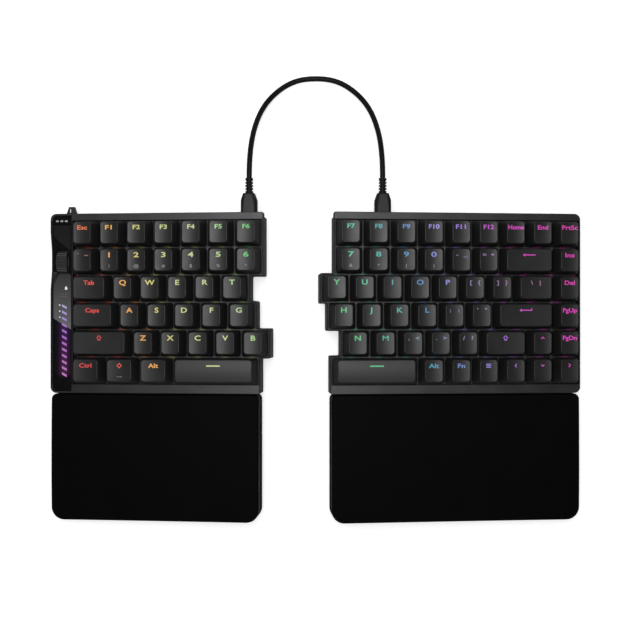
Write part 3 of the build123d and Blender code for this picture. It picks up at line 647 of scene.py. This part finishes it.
def capital_height():
    """How tall a capital is beside the font's size."""
    curve = bpy.data.curves.new("words", "FONT")
    curve.body = "H"
    mesh = mesh_of(curve)
    heights = [vertex.co.y for vertex in mesh.vertices]
    return max(heights) - min(heights)


capital_share = capital_height()


def ring(radius, count, x=0.0, y=0.0):
    """Points round a circle."""
    angles = [2 * pi * n / count for n in range(count)]
    return [(x + radius * cos(angle), y + radius * sin(angle)) for angle in angles]


def bar(width, height, x=0.0, y=0.0):
    """The corners of a rectangle."""
    return [(x - width / 2, y - height / 2), (x + width / 2, y - height / 2),
            (x + width / 2, y + height / 2), (x - width / 2, y + height / 2)]


def scaled(outline, share, y=0.0):
    """An outline drawn in towards a point on its middle line."""
    return [(px * share, y + (py - y) * share) for px, py in outline]


def turned(outline, degrees):
    """An outline turned about the middle."""
    angle = radians(degrees)
    return [(x * cos(angle) - y * sin(angle), x * sin(angle) + y * cos(angle)) for x, y in outline]


def mark(name):
    """The outlines of a drawn legend."""
    arrow = [(0, 1.9), (2.0, -0.1), (1.0, -0.1), (1.0, -1.7),
             (-1.0, -1.7), (-1.0, -0.1), (-2.0, -0.1)]
    head_upper = [(-4.6, 0), (-2.9, 1.15), (-2.9, 0.34)]
    head_lower = [(4.4, -0.34), (-2.9, -0.34), (-2.9, -1.15)]
    shaft = head_upper + [(4.4, 0.34)] + head_lower
    bend = head_upper + [(3.7, 0.34), (3.7, 1.3), (4.4, 1.3)] + head_lower
    chevron = [(0, 0.95), (1.35, -0.45), (0.95, -0.85), (0, 0.12), (-0.95, -0.85), (-1.35, -0.45)]
    diamond = ring(1.9, 4)
    marks = {
        "_SHIFT": [arrow, scaled(arrow, 0.6, 0.1)],
        "_BACK": [shaft],
        "_ENTER": [bend],
        "_BAR": [bar(9.4, 0.9)],
        "_MENU": [bar(3.4, 0.55, 0, 1.1), bar(3.4, 0.55), bar(3.4, 0.55, 0, -1.1)],
        "_DIAMOND": [diamond, scaled(diamond, 0.6)],
        "_DASHES": [bar(1.1, 0.45, -1.1), bar(1.5, 0.45, 0.9)],
        "_UP": [chevron],
        "_LEFT": [turned(chevron, 90)],
        "_DOWN": [turned(chevron, 180)],
        "_RIGHT": [turned(chevron, 270)],
    }
    return marks[name]


def legend_meshes(legend):
    """A legend's meshes, each with its place on the cap's top and the number of its material."""
    if legend.startswith("_"):
        drawn = [(outline_mesh(mark(legend)), 0, legend_row, 0)]
        if legend == "_DIAMOND":
            drawn.append((outline_mesh(mark("_DASHES")), 0, second_row, 1))
        return drawn
    if " " in legend:
        first, second = legend.split(" ")
        return [(words_mesh(first, pair_height, letter_stretch), -pair_reach / 2, legend_row, 2),
                (words_mesh(second, pair_height, letter_stretch), pair_reach / 2, legend_row, 2)]
    if "|" in legend:
        digit, sign = legend.split("|")
        small = words_mesh(sign, second_height, letter_stretch, second_weight)
        return [(words_mesh(digit, letter_height, digit_stretch), 0, legend_row, 0),
                (small, 0, second_row, 1)]
    if len(legend) == 1:
        # A thickened M would close up
        weight = 0 if legend == "M" else legend_weight
        return [(words_mesh(legend, letter_height, letter_stretch, weight), 0, legend_row, 0)]
    return [(words_mesh(legend, word_height, word_stretch), 0, legend_row, 0)]


def cap_height(node, width, x, y):
    """The height of a cap's top at a place on it: dished across, or crowned on the thumb keys."""
    if node in thumb_keys:
        radius = (cap_top_reach ** 2 + thumb_crown ** 2) / (2 * thumb_crown)
        return cap_top - radius + sqrt(radius ** 2 - y ** 2)
    reach = (width - cap_gap) / 2 - cap_side_inset
    radius = (reach ** 2 + dish_depth ** 2) / (2 * dish_depth)
    return cap_top - dish_depth + radius - sqrt(radius ** 2 - x ** 2)


def new_piece(name, shape, materials, body):
    """An object from a bmesh, riding on a body."""
    mesh = bpy.data.meshes.new(name)
    shape.to_mesh(mesh)
    shape.free()
    for material in materials:
        mesh.materials.append(material)
    piece = bpy.data.objects.new(name, mesh)
    bpy.context.collection.objects.link(piece)
    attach(piece, body)
    return piece


def add_flat(shape, mesh, place, material_index, height_at):
    """Add a thin mesh to a bmesh, set on a surface of the half."""
    verts_before = len(shape.verts)
    faces_before = len(shape.faces)
    shape.from_mesh(mesh)
    bpy.data.meshes.remove(mesh)
    shape.verts.ensure_lookup_table()
    shape.faces.ensure_lookup_table()
    for vert in shape.verts[verts_before:]:
        x, y, z = vert.co
        vert.co = place @ Vector((x, y, z + height_at(x, y))) * MM
    for face in shape.faces[faces_before:]:
        face.material_index = material_index


def add_legends(side, table, materials):
    """Legends on every key of one half, one piece per key node."""
    shapes = {}
    for node, row, start, width, legends in table:
        shape = shapes.setdefault(node, bmesh.new())
        for place, legend in enumerate(legends):
            key_x = (start + width * (place + 0.5)) * key_pitch
            key_y = (row_count - row - 0.5) * key_pitch + cap_top_shift
            for mesh, x, y, kind in legend_meshes(legend):
                spot = half_place(side) @ Matrix.Translation((key_x + x, key_y + y, 0))

                def height_at(dx, dy, x=x, y=y):
                    return cap_height(node, width * key_pitch, x + dx, y + dy) + legend_lift

                add_flat(shape, mesh, spot, kind, height_at)
    for node, shape in shapes.items():
        bmesh.ops.remove_doubles(shape, verts=shape.verts, dist=legend_weld * MM)
        new_piece(node + "_legends", shape, materials, node)


def pad_ring(side, inset, pull, corner_share):
    """Points round a wrist rest's outline, drawn in, its sides pulled in between the corners."""
    low, high = sorted((outer_x[side], thumb_x[side] - inward[side] * rest_inner_inset))
    low, high = low + inset, high - inset
    front, rear = rest_front + inset, rest_rear - inset
    front_round = max(pad_corners["front"] * corner_share, pad_least_corner)
    rear_round = max(pad_corners["rear"] * corner_share, pad_least_corner)
    corners = (
        (high - front_round, front + front_round, front_round, -90),
        (high - rear_round, rear - rear_round, rear_round, 0),
        (low + rear_round, rear - rear_round, rear_round, 90),
        (low + front_round, front + front_round, front_round, 180),
    )
    middle = Vector(((low + high) / 2, (front + rear) / 2))
    points = []
    for n, (x, y, radius, start) in enumerate(corners):
        arc = []
        for step in range(pad_arc_steps + 1):
            angle = radians(start + 90 * step / pad_arc_steps)
            arc.append(Vector((x + radius * cos(angle), y + radius * sin(angle))))
        points.extend(arc)
        after = corners[(n + 1) % 4]
        angle = radians(after[3])
        end = Vector((after[0] + after[2] * cos(angle), after[1] + after[2] * sin(angle)))
        begin = arc[-1]
        inward_way = (end - begin).orthogonal().normalized()
        if inward_way.dot(middle - (begin + end) / 2) < 0:
            inward_way = -inward_way
        count = pad_side_steps[n % 2]
        for step in range(1, count):
            share = step / count
            points.append(begin.lerp(end, share) + inward_way * pull * sin(pi * share))
    return points


def add_pad(side, material):
    """The padded top of a wrist rest: crowned, with soft edges and sides drawn in below."""
    centre_y = (rest_front + rest_rear) / 2
    reach = (rest_rear - rest_front) / 2
    rings = []
    for inset, height in pad_profile:
        rings.append((pad_inset + inset, rest_base_height + height, pad_pull, None))
    for step in range(pad_edge_steps + 1):
        angle = radians(90 * step / pad_edge_steps)
        inset = pad_inset + pad_edge_round * (1 - cos(angle))
        rings.append((inset, None, pad_pull * cos(angle), pad_edge_round * (1 - sin(angle))))
    first = pad_inset + pad_edge_round
    for step in range(1, pad_top_steps + 1):
        share = (step / pad_top_steps) ** pad_top_spacing
        rings.append((first + (reach - first) * share, None, 0, 0))
    shape = bmesh.new()
    place = half_place(side)
    loops = []
    for inset, height, pull, below in rings:
        corner_share = max(1 - inset / reach, 0)
        loop = []
        for x, y in pad_ring(side, min(inset, reach - 0.01), pull, corner_share):
            level = height
            if level is None:
                crown = pad_crown * ((y - centre_y) / reach) ** 2
                level = pad_top - pad_sink - crown - below
                level += pad_wave * noise.noise(Vector((x, y, 0)) / pad_wave_length)
            loop.append(shape.verts.new(place @ Vector((x, y, level)) * MM))
        loops.append(loop)
    for lower, upper in zip(loops, loops[1:]):
        for n in range(len(lower)):
            after = (n + 1) % len(lower)
            shape.faces.new((lower[n], lower[after], upper[after], upper[n]))
    shape.faces.new(list(reversed(loops[0])))
    shape.faces.new(loops[-1])
    bmesh.ops.remove_doubles(shape, verts=shape.verts, dist=pad_weld * MM)
    bmesh.ops.recalc_face_normals(shape, faces=shape.faces)
    for face in shape.faces:
        face.smooth = True
    pad = new_piece(side + "_soft_pad", shape, [material], side + "_rest")
    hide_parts(side + "_rest_pad")


def cable_mesh(thickness):
    """The cable's smooth line through its route: a bare line, or a tube of this radius."""
    curve = bpy.data.curves.new("cable", "CURVE")
    curve.dimensions = "3D"
    curve.bevel_depth = thickness
    curve.bevel_resolution = 6
    curve.resolution_u = 16
    curve.use_fill_caps = True
    spline = curve.splines.new("NURBS")
    spline.points.add(len(cable_points) - 1)
    for point, place in zip(spline.points, cable_points):
        point.co = (*(Vector(place) * MM), 1)
    spline.order_u = 4
    spline.use_endpoint_u = True
    return mesh_of(curve)


def add_cable(material):
    """The cable between the two strain reliefs, lying in a loose arch behind the halves."""
    line = [tuple(vertex.co) for vertex in cable_mesh(0).vertices]
    tube = cable_mesh(cable_radius * MM)
    tube.shade_smooth()
    tube.materials.clear()
    tube.materials.append(material)
    cable = bpy.data.objects.new("cable", tube)
    bpy.context.collection.objects.link(cable)
    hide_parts("link_cable")
    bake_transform(cable)


def add_prism(name, side, outline, low, high, bevel, material, body):
    """A thin plate with bevelled edges, set on one half."""
    shape = bmesh.new()
    verts = [shape.verts.new((x, y, low)) for x, y in outline]
    base = shape.faces.new(verts)
    raised = bmesh.ops.extrude_face_region(shape, geom=[base])
    upper = [item for item in raised["geom"] if isinstance(item, bmesh.types.BMVert)]
    bmesh.ops.translate(shape, verts=upper, vec=(0, 0, high - low))
    bmesh.ops.recalc_face_normals(shape, faces=shape.faces)
    rim = [edge for edge in shape.edges if all(vert in upper for vert in edge.verts)]
    bmesh.ops.bevel(shape, geom=rim, offset=bevel, segments=3, affect="EDGES")
    bmesh.ops.transform(shape, matrix=Matrix.Scale(MM, 4) @ half_place(side), verts=shape.verts)
    return new_piece(name, shape, [material], body)


def add_strip_details(gloss, marks):
    """The plain badge place, and the printed marks of the control strip."""
    outer = outer_x["left"]
    badge = [(outer + x, y) for x, y in badge_outline]
    add_prism("badge_plate", "left", badge, frame_top - badge_sink, frame_top + badge_rise,
              badge_bevel, gloss, "left_half")
    shape = bmesh.new()
    drop = [(0, drop_tip)]
    for degrees in range(40, -221, -20):
        angle = radians(degrees)
        drop.append((drop_radius * cos(angle), drop_middle + drop_radius * sin(angle)))
    drawn = [(drop, *drop_place, 0)]
    for n in range(3):
        drawn.append((ring(dot_radius, 16), dot_place[0], dot_place[1] - dot_pitch * n, 0))
        for width, height, y in dash_rows:
            drawn.append((bar(width, height), dash_x + dash_pitch * n, y, 1))
    for outline, x, y, kind in drawn:
        spot = half_place("left") @ Matrix.Translation((outer + x, y, 0))
        add_flat(shape, outline_mesh([outline]), spot, kind, lambda dx, dy: frame_top + legend_lift)
    bmesh.ops.remove_doubles(shape, verts=shape.verts, dist=legend_weld * MM)
    new_piece("strip_marks", shape, marks, "left_half")


def add_plug_faces(material):
    """The inset face on each plug's moulded body."""
    for side in ("left", "right"):
        face = [(plug_x[side] + x, plug_rear + y) for x, y in plug_face_outline]
        add_prism(side + "_plug_face", side, face, plug_top - plug_face_sink,
                  plug_top + plug_face_rise, plug_face_bevel, material, side + "_half")


def seen_directly(tree, in_gloss):
    """1 for a ray from the camera or through something clear, and a share of it in gloss."""
    path = tree.nodes.new("ShaderNodeLightPath")
    gloss = maths(tree, "MULTIPLY", path.outputs["Is Glossy Ray"], in_gloss)
    seen = maths(tree, "MAXIMUM", path.outputs["Is Camera Ray"], gloss)
    return maths(tree, "MAXIMUM", seen, path.outputs["Is Transmission Ray"])


def add_floor():
    """A pale floor that looks white and keeps soft shadows."""
    shape = bmesh.new()
    bmesh.ops.create_grid(shape, x_segments=1, y_segments=1, size=floor_reach)
    mesh = bpy.data.meshes.new("floor")
    shape.to_mesh(mesh)
    shape.free()
    material = bpy.data.materials.new("floor")
    material.use_nodes = True
    tree = material.node_tree
    shader = tree.nodes["Principled BSDF"]
    shader.inputs["Base Color"].default_value = (0.80, 0.80, 0.80, 1)
    shader.inputs["Roughness"].default_value = 0.9
    shader.inputs["Specular IOR Level"].default_value = 0.1
    shader.inputs["Emission Color"].default_value = (1, 1, 1, 1)
    length = tree.nodes.new("ShaderNodeVectorMath")
    length.operation = "LENGTH"
    tree.links.new(part_point(tree), length.inputs[0])
    far = spread(tree, length.outputs["Value"], *floor_fade, floor_near, 1.0)
    seen = maths(tree, "MULTIPLY", seen_directly(tree, floor_in_gloss), far)
    tree.links.new(seen, shader.inputs["Emission Strength"])
    mesh.materials.append(material)
    floor = bpy.data.objects.new("floor", mesh)
    bpy.context.collection.objects.link(floor)


def add_world():
    """A plain room: white behind the object, dimmer overhead for what lights it."""
    world = bpy.data.worlds.new("room")
    bpy.context.scene.world = world
    world.use_nodes = True
    tree = world.node_tree
    shader = tree.nodes["Background"]
    shader.inputs["Color"].default_value = (1, 1, 1, 1)
    _, _, z = split(tree, tree.nodes.new("ShaderNodeTexCoord").outputs["Generated"])
    overhead = spread(tree, z, *overhead_fade, 1.0, overhead_in_gloss)
    path = tree.nodes.new("ShaderNodeLightPath")
    ambient = maths(tree, "MULTIPLY", path.outputs["Is Diffuse Ray"], ambient_strength)
    strength = maths(tree, "MAXIMUM", seen_directly(tree, overhead), ambient)
    tree.links.new(strength, shader.inputs["Strength"])


def add_softbox(name, place, aim, size, power):
    """A large soft lamp aimed at a point."""
    lamp = bpy.data.lights.new(name, "AREA")
    lamp.shape = "RECTANGLE"
    lamp.size, lamp.size_y = size
    lamp.energy = power
    holder = bpy.data.objects.new(name, lamp)
    bpy.context.collection.objects.link(holder)
    holder.location = place
    holder.rotation_euler = (Vector(aim) - Vector(place)).to_track_quat("-Z", "Y").to_euler()
    holder.visible_camera = False


def add_camera():
    """The camera, looking straight down."""
    lens = bpy.data.cameras.new("camera")
    lens.lens = camera_lens
    lens.sensor_width = camera_sensor
    lens.clip_start = 0.01
    camera = bpy.data.objects.new("camera", lens)
    bpy.context.collection.objects.link(camera)
    camera.location = camera_place
    bpy.context.scene.camera = camera


# The case's sides carry painted shade, darker than its top
case_plastic = finish("case_plastic", (0.006, 0.006, 0.0065), 0.5, specular=0.25, grain=5500.0,
                      depth=0.03, painted_shade_side_share=0.5)
board = finish("board", (0.008, 0.018, 0.011), 0.35, grain=900.0, mottle=300.0, tone=0.25)
steel = finish("screw_steel", (0.42, 0.42, 0.43), 0.32, metallic=1.0, grain=4000.0,
               stretch=(1, 1, 0.05))
rest_plastic = finish("rest_plastic", (0.0016, 0.0016, 0.0017), 0.6, specular=0.06, grain=5500.0,
                      depth=0.03)
rubber = finish("foot_rubber", (0.014, 0.014, 0.014), 0.72, specular=0.3, grain=4000.0, depth=0.04)
loop_rubber = finish("loop_rubber", (0.016, 0.016, 0.017), 0.38, grain=5000.0, depth=0.01)
plug_plastic = finish("plug_plastic", (0.0035, 0.0035, 0.004), 0.5, specular=0.14, grain=5000.0)
plug_face = finish("plug_face", (0.014, 0.014, 0.015), 0.45, specular=0.3, grain=7000.0,
                   depth=0.01)
battery_wrap = finish("battery_wrap", (0.45, 0.45, 0.47), 0.28, metallic=0.9, grain=500.0,
                      depth=0.08)
cable_rubber = finish("cable_rubber", (0.003, 0.003, 0.0032), 0.42, specular=0.13, grain=3500.0)
wheel_metal = finish("wheel_metal", (0.060, 0.060, 0.063), 0.34, metallic=0.6, grain=5000.0,
                     depth=0.008)
pad_cover = finish("pad_cover", (0.0014, 0.0014, 0.0015), 0.6, specular=0.04, grain=2600.0,
                   depth=0.03, mottle=40.0, tone=0.2)
badge_gloss = finish("badge_gloss", (0.010, 0.010, 0.012), 0.24, grain=1200.0, depth=0.001,
                     wear=0.02)
legend = legend_finish()
legend_pale = pale_legend_finish()
legend_grey = finish("legend_grey", (0.16, 0.16, 0.17), 0.5, grain=7000.0)
shine(legend_grey, (1, 1, 1, 1), second_glow)
mark_white = finish("mark_white", (0.7, 0.7, 0.7), 0.5, grain=7000.0)
shine(mark_white, (1, 1, 1, 1), mark_glow)
mark_grey = finish("mark_grey", (0.20, 0.20, 0.21), 0.5, grain=7000.0)

finishes = {
    "scroll_wheel": wheel_metal,
    "wheel_yoke": case_plastic,
    "strip_cover": strip_gloss(),
    "accent_plates": accent_finish(),
    "light_guides": guide_finish(),
    "strap_loop": loop_rubber,
    "battery": battery_wrap,
    "link_cable": cable_rubber,
}
springs = coil_finish()
for side in ("left", "right"):
    for ending, material in (
        ("bottom_case", case_plastic),
        ("top_frame", frame_finish(side)),
        ("circuit_board", board),
        ("switch_springs", springs),
        ("case_screws", steel),
        ("port_sockets", steel),
        ("plug", plug_plastic),
        ("rubber_feet", rubber),
        ("rest_rubber_foot", rubber),
        ("rest_base", rest_plastic),
        ("rest_pad", pad_cover),
        ("tent_foot", case_plastic),
        ("rest_tent_foot", case_plastic),
        ("switch_plate", lit_finish(side + "_plate", side, (0.06, 0.06, 0.06), 0.45, 0.3)),
        ("switch_housings", lit_finish(side + "_switch", side, (0.006, 0.006, 0.007), 0.35, 0.0)),
    ):
        finishes[side + "_" + ending] = material
for side, table in (("left", left_legends), ("right", right_legends)):
    caps = cap_finish(side, "_key_cap", 0.0105, 0.4)
    # The thumb caps are the same plastic; their paler tint is a painted highlight for their crowned
    # tops
    thumb_caps_painted_brighter = cap_finish(side, "_thumb_cap_painted_highlight", 0.022, 0.44)
    for row in table:
        finishes[row[0]] = thumb_caps_painted_brighter if row[0] in thumb_keys else caps

for name, material in finishes.items():
    mesh = nodes[name].data
    if not nodes[name].material_slots:
        mesh.materials.append(material)
    for place in nodes[name].material_slots:
        place.material = material

add_camera()
add_cable(cable_rubber)
add_floor()
add_world()
for name, settings in lamps.items():
    add_softbox(name, *settings)
for side, table in (("left", left_legends), ("right", right_legends)):
    add_legends(side, table, [legend, legend_grey, legend_pale])
for side in ("left", "right"):
    add_pad(side, pad_cover)
add_strip_details(badge_gloss, [mark_white, mark_grey])
add_plug_faces(plug_face)

bpy.context.scene.view_settings.view_transform = "Standard"
